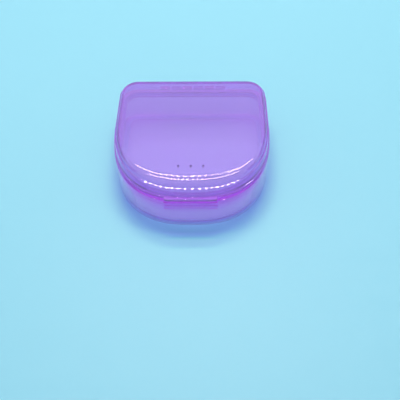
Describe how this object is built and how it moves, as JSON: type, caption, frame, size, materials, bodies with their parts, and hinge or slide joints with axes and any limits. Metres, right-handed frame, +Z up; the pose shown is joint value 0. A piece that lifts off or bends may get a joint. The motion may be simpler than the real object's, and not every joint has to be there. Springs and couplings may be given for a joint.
{
  "type": "denture case",
  "caption": "D-shaped tray with a shallow hinged lid, thumb tab and vent holes, for keeping a denture or a retainer.",
  "frame": {"origin": "on the ground, under the middle of the closed case's bounding box", "axes": "+X to the right across the width, +Y towards the straight back and the hinge, +Z up"},
  "size_m": [0.0804, 0.0814, 0.028],
  "materials": {
    "tray_plastic": "glossy see-through tinted plastic",
    "lid_plastic": "glossy see-through tinted plastic",
    "pin_plastic": "smooth tinted plastic rod"
  },
  "bodies": {
    "tray": {"tray": "tray_plastic", "hinge_pin": "pin_plastic"},
    "lid": {"lid": "lid_plastic"}
  },
  "joints": [
    {"name": "lid_hinge", "type": "hinge", "parent": "tray", "child": "lid", "pos_m": [0, 0.03873, 0.01985], "axis": [-1, 0, 0], "range_deg": [0, 180]}
  ]
}
